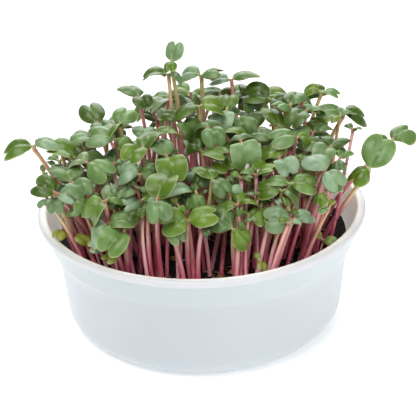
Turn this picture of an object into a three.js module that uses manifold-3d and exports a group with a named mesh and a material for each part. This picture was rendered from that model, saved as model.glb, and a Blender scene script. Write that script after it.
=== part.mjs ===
// Radish microgreens growing in a round white tub.
// Millimetres, +Z up. The origin is the centre of the tub's flat base, and -Y is the front.
import * as THREE from 'three';
import { mergeVertices } from 'three/addons/utils/BufferGeometryUtils.js';
import Module from 'manifold-3d';

const wasm = await Module();
wasm.setup();

// ---------------------------------------------------------------- driving dimensions
// Tub
const TUB_HEIGHT = 48.5;
const RIM_RADIUS = 65;
const RIM_ROUND = 0.3;
const LIP_HEIGHT = 2.3;
const LIP_WIDTH = 3.5;
const LIP_UNDERCUT = 1.6;
const STEP_HEIGHT = 35.6;
const STEP_RADIUS = 60.2;
const STEP_DEPTH = 0.7;
const WALL_TOP_RADIUS = 58;
const WALL_TOP_HEIGHT = 31;
const WALL_FOOT_RADIUS = 56;
const FOOT_FILLET = 9.2;
const FILLET_END = -8;
const WALL = 1.9;
const TUB_SIDES = 40;

// Soil
const SOIL_TOP = 37;
const SOIL_BUMP = 0.7;
const SOIL_WAVE_X = 0.31;
const SOIL_WAVE_Y = 0.27;
const SOIL_RINGS = [0.75, 0.4];
const SOIL_SIDES = 28;
const CLEARANCE = 0.35;

// Root plugs: the matted roots that each tuft stands on, and the plain holes that they fill
const TUFTS = 29;
const SOWN_RADIUS = 46;
const SPIRAL_SPOTS = 150;
const PLUG_RADIUS = 4.6;
const PLUG_HEIGHT = 5;
const PLUG_TOP = SOIL_TOP - 1.2;
const PLUG_SIDES = 8;
const HOLE_FLARE = 3;
const ROOT_RING = 2.4;
const ROOT_DEPTH = 3;
const ROOT_TURN = 1.1;

// Stems
const STEM_RADIUS = 1.2;
const STEM_SIDES = 3;
const STEM_STEPS = 3;
const STEM_SPREAD = 0.4;
const STEM_SWAY = 2.5;
const STEM_BOW = [-0.12, 0.1];
const STEEPEST_LEAN = 0.62;

// Seed leaves
const BLADE_THICKNESS = 0.7;
const PETIOLE_HALF_WIDTH = 0.65;
const HUB_LIFT = 1;
const LEAF_HALF_OUTLINE = [[0, 0.1], [0.28, 0.7], [0.72, 1], [1, 0.52]]; // [share of length, of half width]
const LEAF_NOTCH = 0.84;
const LEAF_MIDDLE = 0.45;
const TIP = [0.93, 0.5];

// How a pair of leaves is held: lengths in mm, angles in degrees, the rest as shares
const YAW = [-28, 28];
const WIDTH = [1.12, 1.28];
const PETIOLE = [2.4, 3.9];
const RISE = [28, 52];
const TILT = [-40, 30];
const TWIST = [-22, 22];
const FOLD = [0.12, 0.52];
const CURL = [0.06, 0.28];
const SECOND_LEAF = [0.72, 0.95];
const LEADER_SIZE = [8, 10];
const MATE_SIZE = [7.8, 9.8];
const LEAN_WITH_STEM = 0.006;
const LEAN_ASIDE = [-0.18, 0.18];
const LEAN_TO_LIGHT = [-0.95, -0.1];
const LIGHT_EDGE = -10;
const LIGHT_REACH = 35;
const LEAST_LIGHT = 0.25;

// Crown of leaves: a dome that is highest behind the middle, under an arch that falls to the back
const SEEDLINGS = 90;
const DOME_TOP = 88;
const DOME_CENTRE = 22;
const DOME_FALL = 0.006;
const SIDE_FALL = 0.0012;
const ARCH_TOP = 106;
const ARCH_CENTRE = 8;
const ARCH_FALL = 0.0069;
const ARCH_SLOPE = 0.5;
const SKIN_SLACK = 1.5;
const FRONT_EDGE = -57;
const LOWEST_LEAF = SOIL_TOP + 15;
const LOWEST_LISTED = SOIL_TOP + 11;
const LOWEST_HEAD = SOIL_TOP + 18;
const SIDE_START = 42;
const LEFT_LIFT = 0.4;
const RIGHT_LIFT = 1.2;
const FAN_ASIDE = 1.4;
const FAN_TURN = 0.006;
const FAN_BACK = 1.25;
const LEADER_DEPTH = [4, 13];
const LEADER_FREEDOM = 5;
const LISTED_FREEDOM = 1.4;
const HEADING_FREEDOM = 15;
const MATE_ROUNDS = 5;
const MATE_TRIES = 4000;
const MATE_REACH = 18;
const MATE_DEPTH = 18;
const MATE_BELOW_LEADER = 3;
const HOST_ALONG = [0.4, 0.86];
const HOST_ACROSS = 0.62;

// Free space kept between seedlings, measured between the points that sample them
const SAMPLE_ROWS = [0.08, 0.3, 0.52, 0.74, 0.94];
const SAMPLE_COLUMNS = [-1, -0.5, 0, 0.5, 1];
const PETIOLE_SAMPLES = [0.25, 0.5, 0.75];
const STEM_SAMPLE = 2.2;
const NEIGHBOURHOOD = 60;
const LEAF_TO_LEAF = 1.75;
const LEAF_TO_STEM = 2.4;
const LEAF_TO_OWN_STEM = 2.1;
const STEM_TO_STEM = 2.95;
const TOUCH_ZONE = 3.2;
const TOUCH_CLEAR = 1.3;

// Seedlings that give the crown its edge: root x, y, then stem top x, y, z, the first leaf's heading and
// tilt in degrees and its length.
const LEADERS = [
  { root: [-6, 23], head: [-9, 20, 99], heading: 60, tilt: 72, size: 6 },
  { root: [-10, 9], head: [-11, 15, 95], heading: 175, tilt: 10, size: 8 },
  { root: [-45, -4], head: [-62, -8, 76], heading: 185, tilt: -5, size: 9.5 },
  { root: [-40, 12], head: [-51, 3, 72], heading: 20, tilt: 25, size: 7.5 },
  { root: [-38, -20], head: [-49.5, -22, 67.5], heading: 100, tilt: 0, size: 10 },
  { root: [46, 1], head: [74, 0, 70.5], heading: 20, tilt: 10, size: 8.5 },
  { root: [43, -15], head: [65, -12, 65], heading: 60, tilt: 45, size: 10.5 },
  { root: [40, 19], head: [58.5, 16, 76.5], heading: 25, tilt: -10, size: 9 },
  { root: [34, -30], head: [46.3, -28, 70.8], heading: 130, tilt: 0, size: 9 },
  { root: [-5, -44], head: [-4.2, -42, 60.7], heading: 185, tilt: -20, size: 9 },
  { root: [10, -43], head: [12.8, -42, 56.8], heading: 130, tilt: -5, size: 9.5 },
  { root: [24, -38], head: [33.8, -38, 57.7], heading: 180, tilt: -10, size: 9 },
  { root: [-26, -36], head: [-35.5, -34, 65.5], heading: 215, tilt: -30, size: 8.5 },
  { root: [-30, 24], head: [-41, 14, 75.5], heading: 110, tilt: 20, size: 8.5 },
  { root: [31, 31], head: [42, 27, 79], heading: 20, tilt: 10, size: 8.5 },
  { root: [-18, 29], head: [-24, 26, 82], heading: 120, tilt: 5, size: 8.5 },
  { root: [4, 33], head: [2, 29, 89], heading: 160, tilt: 0, size: 8 },
  { root: [17, 38], head: [13, 31, 86.5], heading: 20, tilt: 0, size: 8.5 },
  { root: [-16, -44], head: [-16, -42, 68.8], heading: 65, tilt: 30, size: 9.5 },
  { root: [29.5, 20], head: [49, 22, 83.5], heading: 150, tilt: -10, size: 5.5 },
  { root: [16, -14], head: [26, -12, 67.4], heading: 90, tilt: 20, size: 8.5 },
  { root: [-22, 3], head: [-31.8, -2, 76.2], heading: 160, tilt: 0, size: 9.5 },
  { root: [-15, -9], head: [-22.5, -14, 76.6], heading: 45, tilt: 10, size: 9 },
  { root: [10, 6], head: [19.8, 4, 73.2], heading: 190, tilt: 0, size: 8.5 },
  { root: [27, -2], head: [36.2, -2, 71], heading: 0, tilt: 0, size: 8.5 },
];

const COLOURS = { tub: 0xdfe4e8, soil: 0x2a1d16, stems: 0xc9788a, leaves: 0x4f7f3f };
const ROUGHNESS = { tub: 0.35, soil: 0.95, stems: 0.45, leaves: 0.5 };

// ---------------------------------------------------------------- small helpers
const RANDOM_FACTOR = 48271;
const RANDOM_RANGE = 2147483647;
let seed = 131;

/** One seeded draw between two values. */
function draw(low, high) {
  seed = (seed * RANDOM_FACTOR) % RANDOM_RANGE;
  return low + (high - low) * (seed / RANDOM_RANGE);
}

const radians = THREE.MathUtils.degToRad;
const vec = (x, y, z) => new THREE.Vector3(x, y, z);
const ORIGIN = vec(0, 0, 0);
const UP = vec(0, 0, 1);

/** The point reached from an origin by steps of [direction, length]. */
function at(origin, ...steps) {
  return steps.reduce((sum, [direction, length]) => sum.addScaledVector(direction, length), origin.clone());
}

/** A closed geometry as a manifold solid. */
function toSolid(geometry) {
  const plain = geometry.clone();
  plain.deleteAttribute('normal');
  plain.deleteAttribute('uv');
  const merged = mergeVertices(plain, 1e-4);
  return new wasm.Manifold(new wasm.Mesh({
    numProp: 3,
    vertProperties: new Float32Array(merged.attributes.position.array),
    triVerts: new Uint32Array(merged.index.array),
  }));
}

/** The largest body of a fused solid: a hollow that fusing sealed is filled, and loose scrap is dropped. */
function wholeBody(solid) {
  return solid.decompose().reduce((best, body) => (body.volume() > best.volume() ? body : best));
}

/** A manifold solid as a three.js geometry. */
function toGeometry(solid) {
  const { vertProperties, triVerts } = wholeBody(solid).getMesh();
  const geometry = new THREE.BufferGeometry();
  geometry.setAttribute('position', new THREE.BufferAttribute(vertProperties, 3));
  geometry.setIndex(new THREE.BufferAttribute(triVerts, 1));
  geometry.computeVertexNormals();
  return geometry;
}

function makeMesh(name, kind, geometry) {
  const material = new THREE.MeshStandardMaterial({
    color: COLOURS[kind],
    roughness: ROUGHNESS[kind],
    metalness: 0,
  });
  const mesh = new THREE.Mesh(geometry, material);
  mesh.name = name;
  return mesh;
}

/** A solid turned about +Z from [radius, height] points. */
function turned(profile, sides) {
  const points = profile.map(([radius, height]) => new THREE.Vector2(radius, height));
  return new THREE.LatheGeometry(points, sides).rotateX(Math.PI / 2);
}

/** Points of a round stretch of a profile between two angles, in degrees. */
function arc(centreRadius, centreHeight, radius, from, to, steps) {
  return Array.from({ length: steps + 1 }, (_, i) => {
    const angle = radians(from + (to - from) * i / steps);
    return [centreRadius + radius * Math.cos(angle), centreHeight + radius * Math.sin(angle)];
  });
}

// ---------------------------------------------------------------- tub
const FILLET_CENTRE = WALL_FOOT_RADIUS - FOOT_FILLET;

function tubGeometry() {
  const lipBottom = TUB_HEIGHT - LIP_HEIGHT;
  const outside = [
    [0, 0],
    ...arc(FILLET_CENTRE, FOOT_FILLET, FOOT_FILLET, -90, FILLET_END, 3),
    [WALL_TOP_RADIUS, WALL_TOP_HEIGHT],
    [STEP_RADIUS - STEP_DEPTH, STEP_HEIGHT - STEP_DEPTH],
    [STEP_RADIUS, STEP_HEIGHT],
    [RIM_RADIUS - LIP_UNDERCUT, lipBottom - LIP_UNDERCUT / 2],
    [RIM_RADIUS, lipBottom],
    [RIM_RADIUS - RIM_ROUND, TUB_HEIGHT],
  ];
  const inside = [
    [RIM_RADIUS - LIP_WIDTH, TUB_HEIGHT],
    [STEP_RADIUS - WALL, STEP_HEIGHT + STEP_DEPTH],
    [WALL_TOP_RADIUS - WALL, WALL_TOP_HEIGHT],
    ...arc(FILLET_CENTRE, FOOT_FILLET, FOOT_FILLET - WALL, FILLET_END, -90, 2),
    [0, WALL],
  ];
  return turned([...outside, ...inside], TUB_SIDES);
}

// ---------------------------------------------------------------- seed leaves
/** Share of the half width that the blade has at a share of its length. */
function halfWidthAt(share) {
  const next = LEAF_HALF_OUTLINE.findIndex(([x], i) => i > 0 && share <= x);
  const [x0, y0] = LEAF_HALF_OUTLINE[next - 1];
  const [x1, y1] = LEAF_HALF_OUTLINE[next];
  return y0 + (y1 - y0) * (share - x0) / (x1 - x0);
}

/** Points that stand for a blade when free space is measured: fewer at the petiole, none in the notch. */
const BLADE_SAMPLES = SAMPLE_ROWS.flatMap((x, row) => {
  const first = row === 0;
  const last = row === SAMPLE_ROWS.length - 1;
  const columns = SAMPLE_COLUMNS.filter((y) => !(first && Math.abs(y) === 0.5) && !(last && y === 0));
  return columns.map((y) => [x, y * halfWidthAt(x)]);
});

/** One seed leaf: its petiole leaves the hub along `out`, and its blade is held at `tilt`. */
function makeLeaf(hub, up, out, habit) {
  const across = up.clone().cross(out);
  const flatNormal = at(ORIGIN, [up, Math.cos(habit.tilt)], [out, -Math.sin(habit.tilt)]);
  return {
    hub,
    across,
    foot: at(hub, [out, Math.cos(habit.rise) * habit.petiole], [up, Math.sin(habit.rise) * habit.petiole]),
    petioleNormal: at(ORIGIN, [up, Math.cos(habit.rise)], [out, -Math.sin(habit.rise)]),
    along: at(ORIGIN, [out, Math.cos(habit.tilt)], [up, Math.sin(habit.tilt)]),
    side: at(ORIGIN, [across, Math.cos(habit.twist)], [flatNormal, Math.sin(habit.twist)]),
    normal: at(ORIGIN, [flatNormal, Math.cos(habit.twist)], [across, -Math.sin(habit.twist)]),
    length: habit.length,
    halfWidth: habit.width / 2,
    fold: habit.fold,
    curl: habit.curl,
  };
}

/** A point of the blade's middle surface: x runs from petiole to tip, y across in half widths. */
function onBlade(leaf, [x, y]) {
  const aside = y * leaf.halfWidth;
  const lift = leaf.fold * Math.abs(aside) - leaf.curl * x * x * leaf.length;
  return at(leaf.foot, [leaf.along, x * leaf.length], [leaf.side, aside], [leaf.normal, lift]);
}

const bladeSamples = (leaf) => BLADE_SAMPLES.map((spot) => onBlade(leaf, spot));
const petioleSamples = (leaf) => PETIOLE_SAMPLES.map((share) => leaf.hub.clone().lerp(leaf.foot, share));

/** The pair of leaves of one seedling as one closed solid, joined at the hub. */
function leafPairGeometry(up, leaves) {
  const middles = [];
  const normals = [];
  const triangles = [];
  const rims = [];
  const addPoint = (point, normal) => {
    middles.push(point);
    normals.push(normal);
    return middles.length - 1;
  };
  const hubSide = (way) => addPoint(at(leaves[0].hub, [leaves[0].across, way * PETIOLE_HALF_WIDTH]), up);
  const hubSides = [hubSide(1), hubSide(-1)];
  leaves.forEach((leaf, which) => {
    const footNormal = leaf.petioleNormal.clone().add(leaf.normal).normalize();
    const edge = (way) => LEAF_HALF_OUTLINE.map(([x, y], i) => (
      addPoint(onBlade(leaf, [x, way * y]), i === 0 ? footNormal : leaf.normal)
    ));
    const left = edge(1);
    const right = edge(-1);
    const notch = addPoint(onBlade(leaf, [LEAF_NOTCH, 0]), leaf.normal);
    const middle = addPoint(onBlade(leaf, [LEAF_MIDDLE, 0]), leaf.normal);
    const [hubLeft, hubRight] = which === 0 ? hubSides : hubSides.toReversed();
    const blade = [...right, notch, ...left.toReversed()];
    triangles.push([hubRight, right[0], left[0]], [hubRight, left[0], hubLeft]);
    blade.forEach((point, i) => triangles.push([point, blade[(i + 1) % blade.length], middle]));
    rims.push([hubRight, ...blade, hubLeft]);
  });
  const count = middles.length;
  const skin = (offset) => middles.flatMap((point, i) => at(point, [normals[i], offset]).toArray());
  const index = triangles.flatMap(([a, b, c]) => [a, b, c, count + c, count + b, count + a]);
  for (const rim of rims) {
    rim.slice(1).forEach((b, i) => index.push(rim[i], count + rim[i], count + b, rim[i], count + b, b));
  }
  const positions = [...skin(BLADE_THICKNESS / 2), ...skin(-BLADE_THICKNESS / 2)];
  const geometry = new THREE.BufferGeometry();
  geometry.setAttribute('position', new THREE.Float32BufferAttribute(positions, 3));
  geometry.setIndex(index);
  return geometry;
}

// ---------------------------------------------------------------- stems
/** A stem's run: it leaves the root plug steeply and leans further out on its way up. */
function stemCurve(root, head, bend) {
  const middle = vec(
    THREE.MathUtils.lerp(root.x, head.x, STEM_SPREAD),
    THREE.MathUtils.lerp(root.y, head.y, STEM_SPREAD),
    (root.z + head.z) / 2,
  );
  return new THREE.QuadraticBezierCurve3(root, middle.add(bend), head);
}

function stemGeometry(curve) {
  const corners = Array.from({ length: STEM_SIDES }, (_, corner) => {
    const angle = corner * 2 * Math.PI / STEM_SIDES;
    return new THREE.Vector2(STEM_RADIUS * Math.cos(angle), STEM_RADIUS * Math.sin(angle));
  });
  const section = new THREE.Shape(corners);
  return new THREE.ExtrudeGeometry(section, { steps: STEM_STEPS, extrudePath: curve, bevelEnabled: false });
}

// ---------------------------------------------------------------- planting
const planted = [];

/** Height of the crown's skin over a place. */
function crownHeight(x, y) {
  const dome = DOME_TOP - DOME_FALL * (y - DOME_CENTRE) ** 2 - SIDE_FALL * x * x;
  const arch = ARCH_TOP - ARCH_FALL * (x - ARCH_CENTRE) ** 2 - ARCH_SLOPE * y;
  return Math.min(dome, arch);
}

/** Where a tuft rooted at a plug carries its leaves: the tufts fan out over the rim, except at the front. */
function crownPlace({ x, y }) {
  const behind = Math.max(y, 0);
  return [x * (FAN_ASIDE - FAN_TURN * behind), y < 0 ? y : y * FAN_BACK];
}

function tooClose(points, others, limit) {
  const square = limit * limit;
  return points.some((a) => others.some((b) => a.distanceToSquared(b) < square));
}

/** Whether a seedling stays inside the crown. */
function insideCrown(plant) {
  const lift = (x) => (x < 0 ? LEFT_LIFT : RIGHT_LIFT) * Math.max(0, Math.abs(x) - SIDE_START);
  const raised = (x) => LOWEST_LEAF + lift(x);
  const low = (point) => point.y < FRONT_EDGE || point.z < (plant.listed ? LOWEST_LISTED : raised(point.x));
  const high = (point) => point.z > crownHeight(point.x, point.y) + SKIN_SLACK;
  return !plant.leafPoints.some(low) && (plant.listed || !plant.leafPoints.some(high));
}

/** Whether a seedling keeps free of another one. Leaves of one tuft may meet where they touch. */
function clearOf(plant, other) {
  if (other.head.distanceTo(plant.head) >= NEIGHBOURHOOD) return true;
  if (tooClose(plant.leafPoints, other.stemPoints, LEAF_TO_STEM)) return false;
  if (tooClose(plant.stemPoints, other.leafPoints, LEAF_TO_STEM)) return false;
  if (other.tuft !== plant.tuft) {
    return !tooClose(plant.leafPoints, other.leafPoints, LEAF_TO_LEAF)
      && !tooClose(plant.stemPoints, other.stemPoints, STEM_TO_STEM);
  }
  const far = plant.leafPoints.filter((point) => point.distanceTo(plant.touch) > TOUCH_ZONE);
  return !tooClose(far, other.leafPoints, TOUCH_CLEAR);
}

function hasRoom(plant) {
  return insideCrown(plant)
    && !tooClose(plant.bladePoints, plant.stemPoints, LEAF_TO_OWN_STEM)
    && planted.every((other) => clearOf(plant, other));
}

/** Draws how one seedling holds its two unequal leaves. */
function drawHabit(size, heading, listedTilt) {
  const yaw = draw(...YAW);
  const leaf = (scale, turn, tilt) => ({
    heading: radians(heading + turn),
    length: size * scale,
    width: size * scale * draw(...WIDTH),
    petiole: draw(...PETIOLE) * (1 + scale) / 2,
    rise: radians(draw(...RISE)),
    tilt: radians(tilt),
    twist: radians(draw(...TWIST)),
    fold: draw(...FOLD),
    curl: draw(...CURL),
  });
  const firstTilt = draw(...TILT);
  const first = leaf(1, 0, listedTilt ?? firstTilt);
  const second = leaf(draw(...SECOND_LEAF), 180 + yaw, draw(...TILT));
  return [first, second];
}

/** Both leaves about a hub, on a stem top that points along `up`. */
function leavesAt(hub, up, habits) {
  return habits.map((habit) => {
    const flat = vec(Math.cos(habit.heading), Math.sin(habit.heading), 0);
    const out = at(flat, [up, -flat.dot(up)]).normalize();
    return makeLeaf(hub, up, out, habit);
  });
}

/** The way a stem top points: with its stem's lean, and drawn to the light at the front. */
function drawUp(plug, top) {
  const reached = Math.min(1, Math.max(0, (LIGHT_EDGE - top.y) / LIGHT_REACH));
  const light = LEAST_LIGHT + (1 - LEAST_LIGHT) * reached;
  const x = (top.x - plug.x) * LEAN_WITH_STEM + draw(...LEAN_ASIDE);
  const y = (top.y - plug.y) * LEAN_WITH_STEM + draw(...LEAN_TO_LIGHT) * light;
  return vec(x, y, 1).normalize();
}

/** A whole seedling: a stem from its root in the plug to its head, and the pair of leaves above it. */
function makeSeedling(tuft, plug, head, up, habits, touch, listed) {
  const reach = vec(head.x - plug.x, head.y - plug.y, 0);
  const around = reach.length() > 0.5 ? reach.clone().normalize() : vec(1, 0, 0);
  around.applyAxisAngle(UP, draw(-ROOT_TURN, ROOT_TURN));
  const root = at(vec(plug.x, plug.y, PLUG_TOP - ROOT_DEPTH), [around, ROOT_RING]);
  const sway = vec(draw(-STEM_SWAY, STEM_SWAY), draw(-STEM_SWAY, STEM_SWAY), 0);
  const curve = stemCurve(root, head, at(sway, [reach, draw(...STEM_BOW)]));
  const leaves = leavesAt(at(head, [up, HUB_LIFT]), up, habits);
  const bladePoints = leaves.flatMap(bladeSamples);
  return {
    tuft,
    head,
    up,
    curve,
    leaves,
    touch,
    listed,
    bladePoints,
    leafPoints: [...bladePoints, ...leaves.flatMap(petioleSamples)],
    stemPoints: curve.getPoints(Math.floor(root.distanceTo(head) / STEM_SAMPLE) + 1),
  };
}

/** Plants the first seedling of a tuft: a listed one at its place, or one drawn into the crown. */
function plantLeader(tuft, plug) {
  const { spot } = plug;
  const free = spot ? LISTED_FREEDOM : LEADER_FREEDOM;
  const [x, y] = spot ? spot.head : crownPlace(plug);
  for (let attempt = 0; attempt < MATE_TRIES; attempt += 1) {
    const height = spot ? spot.head[2] : crownHeight(x, y) - draw(...LEADER_DEPTH);
    const head = vec(x + draw(-free, free), y + draw(-free, free), height);
    const habits = spot
      ? drawHabit(spot.size, spot.heading + draw(-HEADING_FREEDOM, HEADING_FREEDOM), spot.tilt)
      : drawHabit(draw(...LEADER_SIZE), draw(0, 360));
    const up = drawUp(plug, head);
    const plant = makeSeedling(tuft, plug, head, up, habits, null, spot !== null);
    if (hasRoom(plant)) {
      planted.push(plant);
      return;
    }
  }
}

/** Whether a mate's head lies within reach of its tuft, not far under the crown's skin. */
function mateHeadFits(head, plug, leader) {
  const [centreX, centreY] = crownPlace(plug);
  const skin = Math.max(crownHeight(head.x, head.y), leader.head.z - MATE_BELOW_LEADER);
  const lean = Math.hypot(head.x - plug.x, head.y - plug.y);
  return head.z < skin + 1
    && head.z > Math.max(skin - MATE_DEPTH, LOWEST_HEAD)
    && Math.hypot(head.x - centreX, head.y - centreY) < MATE_REACH
    && lean < STEEPEST_LEAN * (head.z - SOIL_TOP);
}

/** Adds a seedling whose leaf tip rests in a leaf of its tuft, so that the tuft's leaves hold together. */
function plantMate(tuft, plug) {
  const mates = planted.filter((plant) => plant.tuft === tuft);
  const either = () => (draw(0, 1) < 0.5 ? 0 : 1);
  for (let attempt = 0; attempt < MATE_TRIES; attempt += 1) {
    const host = mates[Math.floor(draw(0, mates.length))];
    const hostLeaf = host.leaves[either()];
    const touch = onBlade(hostLeaf, [draw(...HOST_ALONG), draw(-HOST_ACROSS, HOST_ACROSS)]);
    const habits = drawHabit(draw(...MATE_SIZE), draw(0, 360));
    const up = drawUp(plug, touch);
    const own = leavesAt(ORIGIN, up, habits)[either()];
    const tip = onBlade(own, [TIP[0], either() === 0 ? TIP[1] : -TIP[1]]);
    const head = at(touch.clone().sub(tip), [up, -HUB_LIFT]);
    if (mateHeadFits(head, plug, mates[0])) {
      const plant = makeSeedling(tuft, plug, head, up, habits, touch, false);
      if (hasRoom(plant)) {
        planted.push(plant);
        return true;
      }
    }
  }
  return false;
}

/** Plugs of the listed leaders first, then each time the spiral's spot that is farthest from them. */
function choosePlugs() {
  const goldenAngle = Math.PI * (3 - Math.sqrt(5));
  const spiral = Array.from({ length: SPIRAL_SPOTS }, (_, i) => {
    const radius = SOWN_RADIUS * Math.sqrt((i + 0.5) / SPIRAL_SPOTS);
    return { x: radius * Math.cos(i * goldenAngle), y: radius * Math.sin(i * goldenAngle) };
  });
  const chosen = LEADERS.map((spot) => ({ x: spot.root[0], y: spot.root[1], spot, full: false }));
  const space = (place) => Math.min(...chosen.map((plug) => Math.hypot(plug.x - place.x, plug.y - place.y)));
  while (chosen.length < TUFTS) {
    const widest = spiral.reduce((best, place) => (space(place) > space(best) ? place : best));
    chosen.push({ ...widest, spot: null, full: false });
  }
  return chosen;
}

function plantAll(plugs) {
  plugs.forEach((plug, tuft) => plantLeader(tuft, plug));
  for (let round = 0; round < MATE_ROUNDS; round += 1) {
    plugs.forEach((plug, tuft) => {
      if (!plug.full && planted.length < SEEDLINGS) plug.full = !plantMate(tuft, plug);
    });
  }
}

// ---------------------------------------------------------------- soil
function plugGeometry({ x, y }, radius, topRadius, bottom, top) {
  return new THREE.CylinderGeometry(topRadius, radius, top - bottom, PLUG_SIDES)
    .rotateX(Math.PI / 2)
    .translate(x, y, (bottom + top) / 2);
}

/** The soil bed: it follows the tub's inside, its top is a little uneven, and each plug has its hole. */
function soilGeometry(plugs) {
  const inside = (radius) => radius - WALL - CLEARANCE;
  const profile = [
    [0, WALL + CLEARANCE],
    ...arc(FILLET_CENTRE, FOOT_FILLET, inside(FOOT_FILLET), -90, FILLET_END, 2),
    [inside(WALL_TOP_RADIUS), WALL_TOP_HEIGHT],
    [inside(STEP_RADIUS) - CLEARANCE * 2, SOIL_TOP - 1],
    ...SOIL_RINGS.map((share) => [share * inside(STEP_RADIUS), SOIL_TOP]),
    [0, SOIL_TOP],
  ];
  const body = turned(profile, SOIL_SIDES);
  const { position } = body.attributes;
  for (let i = 0; i < position.count; i += 1) {
    const point = vec(position.getX(i), position.getY(i), position.getZ(i));
    const bump = SOIL_BUMP * Math.sin(point.x * SOIL_WAVE_X + 1) * Math.cos(point.y * SOIL_WAVE_Y);
    if (point.z > SOIL_TOP - 0.5) position.setZ(i, point.z + bump);
  }
  const holeBottom = PLUG_TOP - PLUG_HEIGHT - CLEARANCE;
  const holes = plugs.map((plug) => toSolid(
    plugGeometry(plug, PLUG_RADIUS + CLEARANCE * 1.1, PLUG_RADIUS + HOLE_FLARE, holeBottom, SOIL_TOP + 2),
  ));
  return toGeometry(holes.reduce((solid, hole) => solid.subtract(hole), toSolid(body)));
}

// ---------------------------------------------------------------- assembly
function tuftStems(plug, plants) {
  const roots = plugGeometry(plug, PLUG_RADIUS, PLUG_RADIUS, PLUG_TOP - PLUG_HEIGHT, PLUG_TOP);
  const stems = plants.map((plant) => toSolid(stemGeometry(plant.curve)));
  return toGeometry(stems.reduce((sum, stem) => sum.add(stem), toSolid(roots)));
}

function tuftLeaves(plants) {
  const pairs = plants.map((plant) => toSolid(leafPairGeometry(plant.up, plant.leaves)));
  return toGeometry(pairs.reduce((sum, pair) => sum.add(pair)));
}

const plugs = choosePlugs();
plantAll(plugs);

const tray = new THREE.Group();
tray.add(makeMesh('tub', 'tub', tubGeometry()));
tray.add(makeMesh('soil', 'soil', soilGeometry(plugs)));
plugs.forEach((plug, tuft) => {
  const number = String(tuft + 1).padStart(2, '0');
  const plants = planted.filter((plant) => plant.tuft === tuft);
  tray.add(makeMesh(`stems_${number}`, 'stems', tuftStems(plug, plants)));
  tray.add(makeMesh(`leaves_${number}`, 'leaves', tuftLeaves(plants)));
});

export default tray;
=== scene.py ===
"""Looks for a tub of radish microgreens, in millimetres until a piece is made, then in metres."""
import math

import bpy
import numpy as np
from mathutils import Matrix, Vector, noise


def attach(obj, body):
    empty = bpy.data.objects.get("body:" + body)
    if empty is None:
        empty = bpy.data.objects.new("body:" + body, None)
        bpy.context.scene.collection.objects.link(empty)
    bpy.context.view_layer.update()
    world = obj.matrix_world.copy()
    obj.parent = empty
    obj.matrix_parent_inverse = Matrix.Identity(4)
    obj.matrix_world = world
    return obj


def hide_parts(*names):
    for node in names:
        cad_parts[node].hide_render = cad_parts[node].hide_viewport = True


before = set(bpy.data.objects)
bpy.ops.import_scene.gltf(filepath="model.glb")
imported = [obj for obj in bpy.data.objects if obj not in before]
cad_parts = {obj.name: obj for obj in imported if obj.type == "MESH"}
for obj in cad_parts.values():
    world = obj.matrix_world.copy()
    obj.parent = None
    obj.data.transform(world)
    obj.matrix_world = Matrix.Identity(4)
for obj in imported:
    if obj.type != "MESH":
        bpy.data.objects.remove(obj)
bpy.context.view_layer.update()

MM = 0.001

# -------- dimensions shared with the solids
TUB_HEIGHT = 48.5
RIM_RADIUS = 65
LIP_HEIGHT = 2.3
LIP_WIDTH = 3.5
LIP_UNDERCUT = 1.6
STEP_HEIGHT = 35.6
STEP_RADIUS = 60.2
STEP_DEPTH = 0.7
WALL_TOP_RADIUS = 58
WALL_TOP_HEIGHT = 31
WALL_FOOT_RADIUS = 56
FOOT_FILLET = 9.2
FILLET_END = -8
WALL = 1.9
SOIL_TOP = 37
SOIL_BUMP = 0.7
SOIL_WAVE_X = 0.31
SOIL_WAVE_Y = 0.27
CLEARANCE = 0.35

TUFTS = 29
SOWN_RADIUS = 46
SPIRAL_SPOTS = 150
PLUG_TOP = SOIL_TOP - 1.2
ROOT_RING = 2.4
ROOT_DEPTH = 3
ROOT_TURN = 1.1
STEM_SPREAD = 0.4
STEM_SWAY = 2.5
LEAST_REACH = 0.5
STEM_BOW = (-0.12, 0.1)
STEEPEST_LEAN = 0.62

HUB_LIFT = 1
LEAF_HALF_OUTLINE = ((0, 0.1), (0.28, 0.7), (0.72, 1), (1, 0.52))
TIP = (0.93, 0.5)
YAW = (-28, 28)
WIDTH = (1.12, 1.28)
PETIOLE = (2.4, 3.9)
RISE = (28, 52)
TILT = (-40, 30)
TWIST = (-22, 22)
FOLD = (0.12, 0.52)
CURL = (0.06, 0.28)
SECOND_LEAF = (0.72, 0.95)
LEADER_SIZE = (8, 10)
MATE_SIZE = (7.8, 9.8)
LEAN_WITH_STEM = 0.006
LEAN_ASIDE = (-0.18, 0.18)
LEAN_TO_LIGHT = (-0.95, -0.1)
LIGHT_EDGE = -10
LIGHT_REACH = 35
LEAST_LIGHT = 0.25

SEEDLINGS = 90
DOME_TOP = 88
DOME_CENTRE = 22
DOME_FALL = 0.006
SIDE_FALL = 0.0012
ARCH_TOP = 106
ARCH_CENTRE = 8
ARCH_FALL = 0.0069
ARCH_SLOPE = 0.5
SKIN_SLACK = 1.5
FRONT_EDGE = -57
LOWEST_LEAF = SOIL_TOP + 15
LOWEST_LISTED = SOIL_TOP + 11
LOWEST_HEAD = SOIL_TOP + 18
SIDE_START = 42
LEFT_LIFT = 0.4
RIGHT_LIFT = 1.2
FAN_ASIDE = 1.4
FAN_TURN = 0.006
FAN_BACK = 1.25
LEADER_DEPTH = (4, 13)
LEADER_FREEDOM = 5
LISTED_FREEDOM = 1.4
HEADING_FREEDOM = 15
MATE_ROUNDS = 5
MATE_TRIES = 4000
MATE_REACH = 18
MATE_DEPTH = 18
MATE_BELOW_LEADER = 3
HOST_ALONG = (0.4, 0.86)
HOST_ACROSS = 0.62

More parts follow.
